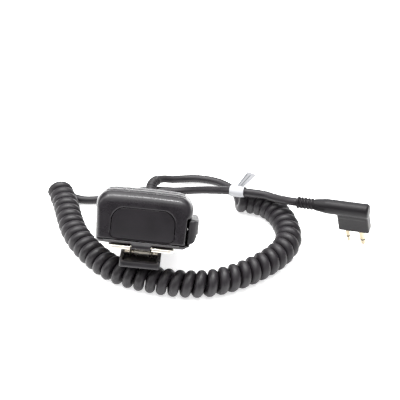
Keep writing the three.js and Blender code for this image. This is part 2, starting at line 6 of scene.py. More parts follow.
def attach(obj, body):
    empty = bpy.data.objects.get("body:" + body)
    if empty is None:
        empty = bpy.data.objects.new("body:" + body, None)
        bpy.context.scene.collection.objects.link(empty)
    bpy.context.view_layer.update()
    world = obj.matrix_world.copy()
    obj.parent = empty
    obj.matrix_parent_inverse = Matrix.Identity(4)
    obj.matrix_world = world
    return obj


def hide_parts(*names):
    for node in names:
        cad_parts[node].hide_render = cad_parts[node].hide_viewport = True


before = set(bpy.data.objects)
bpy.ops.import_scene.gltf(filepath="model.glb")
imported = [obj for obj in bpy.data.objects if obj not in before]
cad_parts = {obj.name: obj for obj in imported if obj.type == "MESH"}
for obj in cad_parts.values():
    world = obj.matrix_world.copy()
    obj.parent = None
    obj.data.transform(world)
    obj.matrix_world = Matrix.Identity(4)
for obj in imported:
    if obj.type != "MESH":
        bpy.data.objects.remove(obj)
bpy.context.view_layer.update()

SC = bpy.context.scene
ROOT = "microphone"

# ------------------------------------------------------------------ the frame of the microphone's body, in mm
ORIGIN = Vector((4.3203, 31.7574, 0.0))
HEAD = Vector((1.317, -6.344, 33.426)) - ORIGIN
TILT = Matrix.Rotation(math.radians(-24.1), 3, "X") @ Matrix.Rotation(math.radians(6.0), 3, "Y")
MIC = Matrix.Scale(0.001, 4) @ Matrix.Translation(HEAD) @ TILT.to_4x4()
LAID = Matrix.Scale(0.001, 4) @ Matrix.Translation(-ORIGIN)


def mic_mm(x, y, z):
    """A point of the body in the scene's mm, before the shift to the origin."""
    return HEAD + ORIGIN + TILT @ Vector((x, y, z))


# ------------------------------------------------------------------ camera
cam_data = bpy.data.cameras.new("camera")
cam_data.sensor_width = 36.0
cam_data.lens = 98.73
cam_data.clip_end = 50
cam = bpy.data.objects.new("camera", cam_data)
SC.collection.objects.link(cam)
cam.location = (0.0273197, -0.4726874, 0.391180)
cam.rotation_euler = (math.radians(53.0), 0, 0)
SC.camera = cam


# ------------------------------------------------------------------ mesh helpers, all in mm until placed
def mesh_object(name, verts, faces):
    me = bpy.data.meshes.new(name)
    me.from_pydata([tuple(v) for v in verts], [], faces)
    bm = bmesh.new()
    bm.from_mesh(me)
    bmesh.ops.remove_doubles(bm, verts=bm.verts, dist=1e-6)
    bmesh.ops.recalc_face_normals(bm, faces=bm.faces)
    bm.to_mesh(me)
    bm.free()
    ob = bpy.data.objects.new(name, me)
    SC.collection.objects.link(ob)
    return ob


def bevelled(ob, width, segments=3, angle=30):
    bm = bmesh.new()
    bm.from_mesh(ob.data)
    edges = [e for e in bm.edges if len(e.link_faces) == 2 and e.calc_face_angle(0) > math.radians(angle)]
    bmesh.ops.bevel(bm, geom=edges, offset=width, segments=segments, profile=0.5, affect="EDGES", clamp_overlap=True)
    bm.to_mesh(ob.data)
    bm.free()
    return ob


def box(x0, x1, y0, y1, z0, z1, r=0):
    v = [(x, y, z) for x in (x0, x1) for y in (y0, y1) for z in (z0, z1)]
    f = [(0, 1, 3, 2), (4, 6, 7, 5), (0, 4, 5, 1), (2, 3, 7, 6), (0, 2, 6, 4), (1, 5, 7, 3)]
    ob = mesh_object("t_box", v, f)
    return bevelled(ob, r) if r else ob


def prism(points, a, b, plane="XY", r=0):
    """An outline in a plane, given thickness from a to b along the third axis."""
    def p3(u, v, w):
        return {"XY": (u, v, w), "YZ": (w, u, v), "XZ": (u, w, v)}[plane]
    n = len(points)
    v = [p3(u, w, a) for u, w in points] + [p3(u, w, b) for u, w in points]
    f = [tuple(range(n))[::-1], tuple(range(n, 2 * n))] + [(i, (i + 1) % n, n + (i + 1) % n, n + i) for i in range(n)]
    ob = mesh_object("t_prism", v, f)
    return bevelled(ob, r) if r else ob


def arc(cx, cy, r, a0, a1, n):
    return [(cx + r * math.cos(math.radians(a0 + (a1 - a0) * i / n)), cy + r * math.sin(math.radians(a0 + (a1 - a0) * i / n))) for i in range(n + 1)]


def rrect(x0, x1, y0, y1, r, n=8):
    return arc(x1 - r, y0 + r, r, -90, 0, n) + arc(x1 - r, y1 - r, r, 0, 90, n) + arc(x0 + r, y1 - r, r, 90, 180, n) + arc(x0 + r, y0 + r, r, 180, 270, n)


def lathe(profile, a, b, n=40, name="t_lathe"):
    """profile: (distance from a along a to b, radius); closed at both ends."""
    a, b = Vector(a), Vector(b)
    d = (b - a).normalized()
    u = d.orthogonal().normalized()
    w = d.cross(u)
    verts, faces, rows = [], [], []
    for t, r in profile:
        row = []
        c = a + d * t
        if r < 1e-6:
            verts.append(c)
            row = [len(verts) - 1] * n
        else:
            for i in range(n):
                q = 2 * math.pi * i / n
                verts.append(c + (u * math.cos(q) + w * math.sin(q)) * r)
                row.append(len(verts) - 1)
        rows.append(row)
    for r0, r1 in zip(rows, rows[1:]):
        for i in range(n):
            f = [r0[i], r0[(i + 1) % n], r1[(i + 1) % n], r1[i]]
            g = list(dict.fromkeys(f))
            if len(g) > 2:
                faces.append(tuple(g))
    return mesh_object(name, verts, faces)


def rod(a, b, r, n=32, r2=None):
    length = (Vector(b) - Vector(a)).length
    return lathe([(0, 0), (0, r), (length, r if r2 is None else r2), (length, 0)], a, b, n)


def frames(points):
    """Tangents and steady side vectors along a polyline."""
    p = [Vector(q) for q in points]
    t = [((p[min(i + 1, len(p) - 1)] - p[max(i - 1, 0)])).normalized() for i in range(len(p))]
    u = t[0].orthogonal().normalized()
    out = []
    for i in range(len(p)):
        if i:
            u = t[i - 1].rotation_difference(t[i]) @ u
            u = (u - t[i] * u.dot(t[i])).normalized()
        out.append((p[i], t[i], u, t[i].cross(u)))
    return out


def sweep(name, points, radius, n=14, rounded=0.0):
    """A closed round tube along points; radius is a number or a function of the index."""
    fr = frames(points)
    verts, faces = [], []
    rad = radius if callable(radius) else (lambda i: radius)
    for i, (p, t, u, w) in enumerate(fr):
        for k in range(n):
            a = 2 * math.pi * k / n
            verts.append(p + (u * math.cos(a) + w * math.sin(a)) * rad(i))
    m = len(fr)
    for i in range(m - 1):
        for k in range(n):
            faces.append((i * n + k, i * n + (k + 1) % n, (i + 1) * n + (k + 1) % n, (i + 1) * n + k))
    for end, base, sgn in ((0, 0, -1), (m - 1, (m - 1) * n, 1)):
        verts.append(fr[end][0] + fr[end][1] * sgn * rounded)
        c = len(verts) - 1
        for k in range(n):
            faces.append((base + k, base + (k + 1) % n, c))
    return mesh_object(name, verts, faces)


def spline(points, step):
    """A centripetal Catmull-Rom line through the points, in even steps."""
    P = [Vector(p) for p in points]
    P = [P[0] * 2 - P[1]] + P + [P[-1] * 2 - P[-2]]
    out = []
    for i in range(1, len(P) - 2):
        p0, p1, p2, p3 = P[i - 1:i + 3]
        t0 = 0.0
        t1 = t0 + math.sqrt((p1 - p0).length)
        t2 = t1 + math.sqrt((p2 - p1).length)
        t3 = t2 + math.sqrt((p3 - p2).length)
        n = 24
        for k in range(n):
            t = t1 + (t2 - t1) * k / n
            a1 = p0 * ((t1 - t) / (t1 - t0)) + p1 * ((t - t0) / (t1 - t0))
            a2 = p1 * ((t2 - t) / (t2 - t1)) + p2 * ((t - t1) / (t2 - t1))
            a3 = p2 * ((t3 - t) / (t3 - t2)) + p3 * ((t - t2) / (t3 - t2))
            b1 = a1 * ((t2 - t) / (t2 - t0)) + a2 * ((t - t0) / (t2 - t0))
            b2 = a2 * ((t3 - t) / (t3 - t1)) + a3 * ((t - t1) / (t3 - t1))
            out.append(b1 * ((t2 - t) / (t2 - t1)) + b2 * ((t - t1) / (t2 - t1)))
    out.append(P[-2])
    arr = np.array([tuple(v) for v in out])
    s = np.concatenate([[0], np.cumsum(np.linalg.norm(np.diff(arr, axis=0), axis=1))])
    m = max(2, int(round(s[-1] / step)))
    g = np.linspace(0, s[-1], m + 1)
    return [Vector((np.interp(q, s, arr[:, 0]), np.interp(q, s, arr[:, 1]), np.interp(q, s, arr[:, 2]))) for q in g]


def evaluated(ob):
    bpy.context.view_layer.update()
    dg = bpy.context.evaluated_depsgraph_get()
    me = bpy.data.meshes.new_from_object(ob.evaluated_get(dg), depsgraph=dg)
    ob.modifiers.clear()
    old = ob.data
    ob.data = me
    bpy.data.meshes.remove(old)
    return ob


def discard(ob):
    me = ob.data
    bpy.data.objects.remove(ob)
    bpy.data.meshes.remove(me)


def boolean(ob, others, op="DIFFERENCE"):
    for o in others:
        m = ob.modifiers.new("b", "BOOLEAN")
        m.operation, m.object = op, o
        m.solver = "MANIFOLD"
    evaluated(ob)
    for o in others:
        discard(o)
    return ob


def soften(ob, voxel, rounds=3, keep=0.35, relax=1):
    """One even skin over everything, its edges rounded off a little, then thinned out where it is flat."""
    m = ob.modifiers.new("r", "REMESH")
    m.mode, m.voxel_size = "VOXEL", voxel
    m = ob.modifiers.new("s", "SMOOTH")
    m.factor, m.iterations = 0.5, rounds
    if keep < 1:
        m = ob.modifiers.new("d", "DECIMATE")
        m.ratio = keep
    return evaluated(ob)


def paint_gap_shade(ob, test):
    """The faces down inside a gap get a darker, almost unreflecting black: painted shade where the gap lies in shadow.
    """
    ob.data.materials.append(MAT["matt"])
    for i in test:
        ob.data.polygons[i].material_index = 1


def faces_in(ob, lo, hi, axis, least):
    return [p.index for p in ob.data.polygons if abs(p.normal[axis]) > least and all(lo[k] < p.center[k] < hi[k] for k in range(3))]


def place(ob, name, matrix, material, body=ROOT, nodes=(), smooth=40):
    ob.name = name
    ob.data.name = name
    ob.data.transform(matrix)
    ob.data.materials.clear()
    ob.data.materials.append(material)
    for p in ob.data.polygons:
        p.use_smooth = True
    if smooth:
        ob.data.set_sharp_from_angle(angle=math.radians(smooth))
    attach(ob, body)
    if nodes:
        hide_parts(*nodes)
    return ob


# ------------------------------------------------------------------ materials
def nodes_of(name):
    m = bpy.data.materials.new(name)
    m.use_nodes = True
    nt = m.node_tree
    bsdf = nt.nodes["Principled BSDF"]
    return m, nt, bsdf


def link(nt, a, b):
    nt.links.new(a, b)


def noise_tex(nt, scale, detail=4, rough=0.55, dist=0.0, coord=None):
    if coord is None:
        tc = nt.nodes.get("coords") or nt.nodes.new("ShaderNodeTexCoord")
        tc.name = "coords"
        coord = tc.outputs["Object"]
    n = nt.nodes.new("ShaderNodeTexNoise")
    n.inputs["Scale"].default_value = scale
    n.inputs["Detail"].default_value = detail
    n.inputs["Roughness"].default_value = rough
    n.inputs["Distortion"].default_value = dist
    link(nt, coord, n.inputs["Vector"])
    return n


def ramp(nt, src, stops):
    r = nt.nodes.new("ShaderNodeValToRGB")
    els = r.color_ramp.elements
    els[0].position, els[0].color = stops[0][0], stops[0][1]
    els[1].position, els[1].color = stops[-1][0], stops[-1][1]
    for pos, col in stops[1:-1]:
        e = els.new(pos)
        e.color = col
    link(nt, src, r.inputs["Fac"])
    return r


def rgba(c, k=1.0):
    return (c[0] * k, c[1] * k, c[2] * k, 1)


def srgb(h):
    v = [int(h[i:i + 2], 16) / 255 for i in (1, 3, 5)]
    return tuple(x / 12.92 if x <= 0.04045 else ((x + 0.055) / 1.055) ** 2.4 for x in v)


def grained(name, colour, rough, grain=2600, depth=0.10, bump=0.00002, var=0.18, rough_var=0.12, spec=0.5, fine=9000, wear=0.0, sheen=0.0, coat=0.0, metallic=0.0):
    """Moulded plastic, rubber or plate: a fine moulded grain, slow colour changes, uneven gloss and paler worn edges."""
    m, nt, b = nodes_of(name)
    slow = noise_tex(nt, 90, 3, 0.5)
    mid = noise_tex(nt, grain, 5, 0.6)
    tiny = noise_tex(nt, fine, 2, 0.5)
    mix = nt.nodes.new("ShaderNodeMix")
    mix.data_type = "RGBA"
    mix.blend_type = "MULTIPLY"
    mix.inputs["Factor"].default_value = 1.0
    r1 = ramp(nt, slow.outputs["Fac"], [(0.3, rgba(colour, 1 - var)), (0.7, rgba(colour, 1 + var))])
    r2 = ramp(nt, mid.outputs["Fac"], [(0.35, (1 - depth,) * 3 + (1,)), (0.65, (1.0,) * 3 + (1,))])
    link(nt, r1.outputs["Color"], mix.inputs[6])
    link(nt, r2.outputs["Color"], mix.inputs[7])
    colour_out = mix.outputs[2]
    if wear > 0:
        geo = nt.nodes.new("ShaderNodeNewGeometry")
        pr = ramp(nt, geo.outputs["Pointiness"], [(0.52, (0, 0, 0, 1)), (0.60, (1, 1, 1, 1))])
        worn = nt.nodes.new("ShaderNodeMix")
        worn.data_type = "RGBA"
        mul = nt.nodes.new("ShaderNodeMath")
        mul.operation = "MULTIPLY"
        mul.inputs[1].default_value = wear
        link(nt, pr.outputs["Color"], mul.inputs[0])
        link(nt, mul.outputs[0], worn.inputs[0])
        link(nt, colour_out, worn.inputs[6])
        worn.inputs[7].default_value = rgba(tuple(min(1, c * 3.0 + 0.02) for c in colour))
        colour_out = worn.outputs[2]
    link(nt, colour_out, b.inputs["Base Color"])
    r3 = ramp(nt, slow.outputs["Fac"], [(0.3, (max(0.05, rough - rough_var / 2),) * 3 + (1,)), (0.7, (min(1, rough + rough_var / 2),) * 3 + (1,))])
    link(nt, r3.outputs["Color"], b.inputs["Roughness"])
    add = nt.nodes.new("ShaderNodeMath")
    add.operation = "ADD"
    link(nt, mid.outputs["Fac"], add.inputs[0])
    link(nt, tiny.outputs["Fac"], add.inputs[1])
    bp = nt.nodes.new("ShaderNodeBump")
    bp.inputs["Strength"].default_value = 0.6
    bp.inputs["Distance"].default_value = bump
    link(nt, add.outputs[0], bp.inputs["Height"])
    link(nt, bp.outputs["Normal"], b.inputs["Normal"])
    b.inputs["Specular IOR Level"].default_value = spec
    b.inputs["Metallic"].default_value = metallic
    b.inputs["Coat Weight"].default_value = coat
    b.inputs["Coat Roughness"].default_value = 0.15
    b.inputs["Sheen Weight"].default_value = sheen
    return m


def metal(name, colour, rough, scratch=1500, aniso=0.0, bump=0.000006, var=0.06):
    m, nt, b = nodes_of(name)
    tc = nt.nodes.new("ShaderNodeTexCoord")
    tc.name = "coords"
    mp = nt.nodes.new("ShaderNodeMapping")
    mp.inputs["Scale"].default_value = (1.0, 0.06, 1.0)
    link(nt, tc.outputs["Object"], mp.inputs["Vector"])
    streak = noise_tex(nt, scratch, 4, 0.6, 0.0, mp.outputs["Vector"])
    cloud = noise_tex(nt, 160, 3, 0.5)
    r1 = ramp(nt, cloud.outputs["Fac"], [(0.3, rgba(colour, 1 - var)), (0.7, rgba(colour, 1 + var * 0.4))])
    link(nt, r1.outputs["Color"], b.inputs["Base Color"])
    add = nt.nodes.new("ShaderNodeMath")
    add.operation = "MULTIPLY_ADD"
    add.inputs[1].default_value = 0.25
    link(nt, streak.outputs["Fac"], add.inputs[0])
    add.inputs[2].default_value = rough - 0.1
    link(nt, add.outputs[0], b.inputs["Roughness"])
    bp = nt.nodes.new("ShaderNodeBump")
    bp.inputs["Strength"].default_value = 0.5
    bp.inputs["Distance"].default_value = bump
    link(nt, streak.outputs["Fac"], bp.inputs["Height"])
    link(nt, bp.outputs["Normal"], b.inputs["Normal"])
    b.inputs["Metallic"].default_value = 1.0
    b.inputs["Anisotropic"].default_value = aniso
    return m


MAT = {
    "shell": grained("case_plastic", (0.0108, 0.0092, 0.0112), 0.29, grain=2400, bump=0.000012, wear=0.12, spec=0.34),
    "face": grained("end_face_plastic", (0.0082, 0.0068, 0.0086), 0.5, grain=3000, bump=0.000018, spec=0.20),
    "button": grained("button_plastic", (0.0125, 0.0112, 0.0130), 0.42, grain=2200, bump=0.000022, wear=0.15, spec=0.34),
    # painted shade: a darker, almost unreflecting black for the faces down inside gaps, where shade falls
    "matt": grained("painted_shade_plastic", (0.0045, 0.0040, 0.0046), 0.9, grain=2400, bump=0.000020, spec=0.03),
    "lever": grained("lever_plastic", (0.0110, 0.0094, 0.0114), 0.45, grain=2200, bump=0.000020, wear=0.15, spec=0.32),
    "rubber": grained("relief_rubber", (0.0100, 0.0088, 0.0102), 0.45, grain=1800, bump=0.00002, spec=0.34),
    "cord": grained("cord_jacket", (0.0105, 0.0087, 0.0107), 0.47, grain=1500, bump=0.000010, var=0.14, spec=0.32),
    "plug": grained("plug_plastic", (0.0062, 0.0052, 0.0063), 0.42, spec=0.20, grain=2200, bump=0.00002, wear=0.1),
    "white": grained("white_plastic", (0.78, 0.74, 0.66), 0.45, grain=2000, var=0.04, depth=0.05),
    "cone": grained("pressed_paper", (0.018, 0.018, 0.018), 0.95, grain=1400, bump=0.00006, spec=0.2),
    "felt": grained("thin_felt", (0.012, 0.012, 0.013), 0.98, grain=3200, bump=0.00008, spec=0.1, sheen=0.2),
    "nickel": metal("nickel_plate", (0.90, 0.85, 0.76), 0.30, bump=0.0000012, scratch=900),
    "steel": metal("bright_steel", (0.62, 0.62, 0.63), 0.30),
    "wire": metal("spring_wire", (0.86, 0.84, 0.80), 0.44, bump=0.000002),
    "magnet": metal("dull_steel", (0.35, 0.36, 0.37), 0.46),
    "can": metal("satin_aluminium", (0.60, 0.61, 0.62), 0.38),
    "brass": metal("pale_gold_plate", (0.50, 0.43, 0.31), 0.34, bump=0.000002),
}


def paper_material():
    m, nt, b = nodes_of("tag_paper")
    tc = nt.nodes.new("ShaderNodeTexCoord")
    tc.name = "coords"
    sep = nt.nodes.new("ShaderNodeSeparateXYZ")
    link(nt, tc.outputs["UV"], sep.inputs[0])
    # ruled lines across the flag: thin grey rules with blank margins
    w = nt.nodes.new("ShaderNodeMath")
    w.operation = "MULTIPLY"
    w.inputs[1].default_value = 3.0
    link(nt, sep.outputs["Y"], w.inputs[0])
    fr = nt.nodes.new("ShaderNodeMath")
    fr.operation = "FRACT"
    link(nt, w.outputs[0], fr.inputs[0])
    line = ramp(nt, fr.outputs[0], [(0.36, (0, 0, 0, 1)), (0.44, (1, 1, 1, 1)), (0.56, (1, 1, 1, 1)), (0.64, (0, 0, 0, 1))])
    span = ramp(nt, sep.outputs["X"], [(0.10, (0, 0, 0, 1)), (0.14, (1, 1, 1, 1)), (0.84, (1, 1, 1, 1)), (0.88, (0, 0, 0, 1))])
    band = ramp(nt, sep.outputs["Y"], [(0.0, (0, 0, 0, 1)), (0.20, (1, 1, 1, 1)), (0.80, (1, 1, 1, 1)), (0.81, (0, 0, 0, 1))])
    mul = nt.nodes.new("ShaderNodeMath")
    mul.operation = "MULTIPLY"
    mul2 = nt.nodes.new("ShaderNodeMath")
    mul2.operation = "MULTIPLY"
    link(nt, line.outputs["Color"], mul.inputs[0])
    link(nt, span.outputs["Color"], mul.inputs[1])
    link(nt, mul.outputs[0], mul2.inputs[0])
    link(nt, band.outputs["Color"], mul2.inputs[1])
    fibre = noise_tex(nt, 2600, 5, 0.7)
    base = ramp(nt, fibre.outputs["Fac"], [(0.3, (0.36, 0.365, 0.385, 1)), (0.7, (0.42, 0.423, 0.435, 1))])
    mix = nt.nodes.new("ShaderNodeMix")
    mix.data_type = "RGBA"
    link(nt, mul2.outputs[0], mix.inputs[0])
    link(nt, base.outputs["Color"], mix.inputs[6])
    mix.inputs[7].default_value = (0.045, 0.048, 0.06, 1)
    link(nt, mix.outputs[2], b.inputs["Base Color"])
    r = ramp(nt, fibre.outputs["Fac"], [(0.3, (0.62,) * 3 + (1,)), (0.7, (0.8,) * 3 + (1,))])
    link(nt, r.outputs["Color"], b.inputs["Roughness"])
    bp = nt.nodes.new("ShaderNodeBump")
    bp.inputs["Distance"].default_value = 0.00003
    bp.inputs["Strength"].default_value = 0.5
    link(nt, fibre.outputs["Fac"], bp.inputs["Height"])
    link(nt, bp.outputs["Normal"], b.inputs["Normal"])
    return m


def board_material():
    m, nt, b = nodes_of("board_laminate")
    tc = nt.nodes.new("ShaderNodeTexCoord")
    tc.name = "coords"
    br = nt.nodes.new("ShaderNodeTexBrick")
    br.inputs["Scale"].default_value = 420
    br.inputs["Color1"].default_value = (0.012, 0.075, 0.03, 1)
    br.inputs["Color2"].default_value = (0.014, 0.09, 0.036, 1)
    br.inputs["Mortar"].default_value = (0.03, 0.16, 0.06, 1)
    br.inputs["Mortar Size"].default_value = 0.06
    link(nt, tc.outputs["Object"], br.inputs["Vector"])
    n = noise_tex(nt, 1200, 4, 0.6)
    r = ramp(nt, n.outputs["Fac"], [(0.3, (0.22,) * 3 + (1,)), (0.7, (0.4,) * 3 + (1,))])
    link(nt, br.outputs["Color"], b.inputs["Base Color"])
    link(nt, r.outputs["Color"], b.inputs["Roughness"])
    bp = nt.nodes.new("ShaderNodeBump")
    bp.inputs["Distance"].default_value = 0.00004
    link(nt, br.outputs["Fac"], bp.inputs["Height"])
    link(nt, bp.outputs["Normal"], b.inputs["Normal"])
    return m


MAT["paper"] = paper_material()
MAT["board"] = board_material()

# ------------------------------------------------------------------ the cord: lead, curl and tail, one line
COIL_ROUTE = [(-51.2, 78.6), (-49.6, 74.5), (-46.6, 66.5), (-43.8, 56.0), (-41.4, 47.0), (-38.4, 38.6), (-34.4, 30.6), (-29.6, 23.0), (-24.4, 16.4), (-18.6, 10.2), (-11.0, 4.7), (-3.0, 1.0), (5.1, -1.5), (15.8, -4.2), (26.4, -5.4), (37, -4.6), (46.4, -1.5), (55.1, 2.9), (63.0, 8.1), (70.2, 14.2), (76.0, 21.0), (79.9, 28.6), (81.0, 36.5), (80.0, 44.5), (77.4, 52.6), (73.1, 59.6), (67.5, 64.6), (61.4, 67.2), (54.6, 67.5)]
LEAD_ROUTE = [(7.35, 88.95, 7.2), (10.4, 90.8, 6.3), (14.8, 92.5, 4.7), (20.8, 94.8, 3.4), (28.0, 96.2, 2.7), (35.3, 95.6, 2.4), (42.5, 93.0, 2.4), (48.4, 88.6, 2.4), (52.0, 83.2, 2.4), (53.6, 79.4, 2.4), (54.4, 75.1, 2.4)]
TAIL_ROUTE = [(-42.2, 76.5, 2.4), (-38.6, 75.5, 2.4), (-33.7, 75.0, 2.4), (-27.0, 75.6, 2.4), (-18.0, 79.2, 2.4), (-8.0, 83.0, 2.4), (2.0, 84.6, 2.4), (10.0, 84.2, 2.4), (16.6, 82.6, 3.0), (24.5, 80.9, 5.0), (34.6, 75.2, 9.6), (41.5, 70.3, 13.0), (48.3, 65.3, 16.4), (54.0, 62.6, 17.8), (60.5, 61.1, 18.1), (69.2, 58.9, 18.0), (74.8, 54.6, 18.8), (79.6, 51.0, 20.3), (85.4, 47.4, 21.5)]
RELIEF_ROUTE = [mic_mm(0, 75.4, 7), mic_mm(0, 78, 7), mic_mm(0, 81, 7), (2.3, 74.6, 7.5), (2.7, 78.6, 7.6), (3.2, 82.4, 7.95), (4.5, 85.7, 7.85), (6.6, 88.3, 7.45)]
WIRE_R, CURL_R, CURL_CENTRE_R, TURNS = 2.35, 2.78, 4.69, 42

axis_line = spline([(x, y, 7.5) for x, y in COIL_ROUTE[::-1]], 0.5)
ax = np.array([tuple(p) for p in axis_line])
s_ax = np.concatenate([[0], np.cumsum(np.linalg.norm(np.diff(ax, axis=0), axis=1))])
S = s_ax[-1]
# the turns lie closer together towards the tail's end, as a curl that was stretched unevenly does
pitch_at = np.interp(s_ax / S, [0, 0.03, 0.2, 0.45, 0.62, 0.8, 0.97, 1.0], [6.6, 5.6, 5.75, 6.1, 6.15, 5.6, 5.35, 6.3])
theta = np.concatenate([[0], np.cumsum(np.diff(s_ax) / pitch_at[1:])])
theta = theta / theta[-1] * TURNS * 2 * math.pi
PER = 22
grid = np.linspace(0, theta[-1], TURNS * PER + 1)
s_of = np.interp(grid, theta, s_ax)
curl = []
for th, s in zip(grid, s_of):
    c = np.array([np.interp(s, s_ax, ax[:, k]) for k in range(3)])
    e = 0.8
    d = np.array([np.interp(min(S, s + e), s_ax, ax[:, k]) - np.interp(max(0, s - e), s_ax, ax[:, k]) for k in range(3)])
    d /= np.linalg.norm(d)
    side = np.cross(d, (0, 0, 1))
    wob = 0.05 * math.sin(th * 0.37) + 0.04 * math.sin(th * 0.83 + 1.0)
    curl.append(Vector(c + (CURL_CENTRE_R + wob * 0.5 - 0.03) * (-math.cos(th) * np.array((0, 0, 1.0)) + math.sin(th) * side) + d * wob * 2.0))
relief_end = [Vector(RELIEF_ROUTE[-2]).lerp(Vector(RELIEF_ROUTE[-1]), 0.55)]
PX = Vector((0.92017, -0.37177, 0.12275)).normalized()
PZ = -Vector((0.19, 0.15, -0.97)).normalized()
PY = PZ.cross(PX).normalized()
PX = PY.cross(PZ).normalized()
PLUG_AT = Vector((115.8, 40.8, 0.05)) + PZ * 26
PLUG = LAID @ Matrix.Translation(PLUG_AT) @ Matrix((PX, PY, PZ)).transposed().to_4x4()
plug_end = PLUG_AT + PX * -26.6
lead = spline(relief_end + LEAD_ROUTE + [curl[0] + (curl[0] - curl[1]) * 0.6], 1.6)
tail = spline([curl[-1] + (curl[-1] - curl[-2]) * 0.8] + [(-46.4, 78.6, 2.4)] + TAIL_ROUTE[:-1] + [plug_end - PX * 3.2, plug_end], 1.6)
lead = [p for p in lead if (p - curl[0]).length > 1.4]
tail = [p for p in tail if (p - curl[-1]).length > 1.4]
line = lead + curl + tail
i0, i1 = len(lead), len(lead) + len(curl)


def cord_radius(i):
    if i < i0:
        return WIRE_R + (CURL_R - WIRE_R) * max(0.0, 1 - (i0 - i) / 8)
    if i >= i1:
        return WIRE_R + (CURL_R - WIRE_R) * max(0.0, 1 - (i - i1) / 8)
    return CURL_R


LOW = 0.0
line = [Vector((p.x, p.y, max(p.z, (cord_radius(i)) + 0.01))) for i, p in enumerate(line)]
for _ in range(7):
    line = [line[0]] + [(line[i] * 2 + line[i - 1] + line[i + 1]) / 4 if abs(i - i0) < 7 or abs(i - i1) < 7 or i > len(line) - 12 else line[i] for i in range(1, len(line) - 1)] + [line[-1]]
cord = sweep("cord", line, cord_radius, n=16)
place(cord, "cord", LAID, MAT["cord"], nodes=["coil_cord", "cord_lead", "cord_tail"], smooth=0)


# ------------------------------------------------------------------ the body's outer form
RINGS = np.array([[0.0, 22.3, 22.4, 5.0, 1.7], [0.8, 23.6, 24.5, 6.0, 0.8], [2.2, 24.4, 26.0, 7.0, 0.2], [4.5, 24.9, 27.0, 7.6, 0], [8.0, 25.15, 27.3, 8.0, 0], [14, 25.2, 27.1, 8.6, 0], [20, 25.1, 26.3, 9.2, 0], [26, 24.8, 24.8, 9.6, 0], [32, 24.3, 22.8, 9.6, 0], [42, 23.2, 19.9, 9.0, 0], [54, 22.0, 17.2, 8.0, 0], [65, 21.1, 15.3, 7.0, 0], [73.5, 20.5, 14.2, 6.4, 0], [77.5, 20.0, 13.6, 5.9, 0.1], [79.7, 19.2, 12.9, 5.2, 0.7], [80.5, 17.8, 11.9, 4.4, 1.7]])


def smooth_rows(y):
    """Each column of RINGS at y, along a smooth line that doesn't overshoot."""
    xs = RINGS[:, 0]
    out = [y]
    for k in range(1, 5):
        v = RINGS[:, k]
        d = np.diff(v) / np.diff(xs)
        m = np.zeros(len(v))
        m[0], m[-1] = d[0], d[-1]
        for i in range(1, len(v) - 1):
            m[i] = 0 if d[i - 1] * d[i] <= 0 else 2 * d[i - 1] * d[i] / (d[i - 1] + d[i])
        i = min(len(xs) - 2, max(0, int(np.searchsorted(xs, y, side="right") - 1)))
        h = xs[i + 1] - xs[i]
        t = (y - xs[i]) / h
        out.append((2 * t ** 3 - 3 * t ** 2 + 1) * v[i] + (t ** 3 - 2 * t ** 2 + t) * h * m[i] + (-2 * t ** 3 + 3 * t ** 2) * v[i + 1] + (t ** 3 - t ** 2) * h * m[i + 1])
    return out


def section(row, inset):
    _, h, zt, rt, z0 = row
    h, zt, z0 = h - inset, zt - inset, z0 + inset
    rt = max(1.5, rt - 0.8 * inset)
    rb = max(0.6, 2.4 - 0.9 * inset)
    p = arc(h - 0.9 - rb, z0 + rb, rb, -90, 0, 6) + arc(h - rt, zt - rt, rt, 0, 90, 12)
    w = h - rt
    p += [(w * k, zt + 0.35 * (1 - k * k)) for k in (0.75, 0.5, 0.25, 0, -0.25, -0.5, -0.75)]
    return p + arc(-h + rt, zt - rt, rt, 90, 180, 12) + arc(-h + 0.9 + rb, z0 + rb, rb, 180, 270, 6)


def loft(ys, inset):
    rows = [section(smooth_rows(y), inset) for y in ys]
    n = len(rows[0])
    verts = [(x, y, z) for y, r in zip(ys, rows) for x, z in r]
    faces = [(k * n + i, k * n + (i + 1) % n, (k + 1) * n + (i + 1) % n, (k + 1) * n + i) for k in range(len(ys) - 1) for i in range(n)]
    for k in (0, len(ys) - 1):
        verts.append((0, ys[k], sum(z for _, z in rows[k]) / n))
        c = len(verts) - 1
        faces += [(k * n + i, k * n + (i + 1) % n, c) for i in range(n)]
    return mesh_object("t_loft", verts, faces)


OUT_Y = [0.02, 0.25, 0.5, 0.8, 1.2, 1.7, 2.2, 2.9, 3.7, 4.5, 5.5] + [6.5 + i * 1.5 for i in range(47)] + [76.7, 77.5, 78.3, 79.0, 79.5, 79.9, 80.2, 80.45]
IN_Y = [2.1, 3.2, 4.5] + [6 + i * 3.0 for i in range(24)] + [78.4]


def hull():
    return loft(OUT_Y, 0.06)


def top_at(x, y):
    _, h, zt, rt, _ = smooth_rows(y)
    w = h - rt
    ax_ = abs(x)
    return zt + 0.35 * (1 - (ax_ / w) ** 2) if ax_ < w else zt - rt + math.sqrt(max(0, rt * rt - (ax_ - w) ** 2))


CASE_SCREWS = [(-19.6, 8.6), (18.2, 49), (-16.6, 72), (16.6, 72)]
CLIP_SCREWS = [(-6, 38), (6, 38)]
GROOVES = [(7.2, 20.6), (12.2, 20.6), (17.2, 20.0), (22.2, 19.0), (27.2, 17.4)]
SPK_Y = 18.6

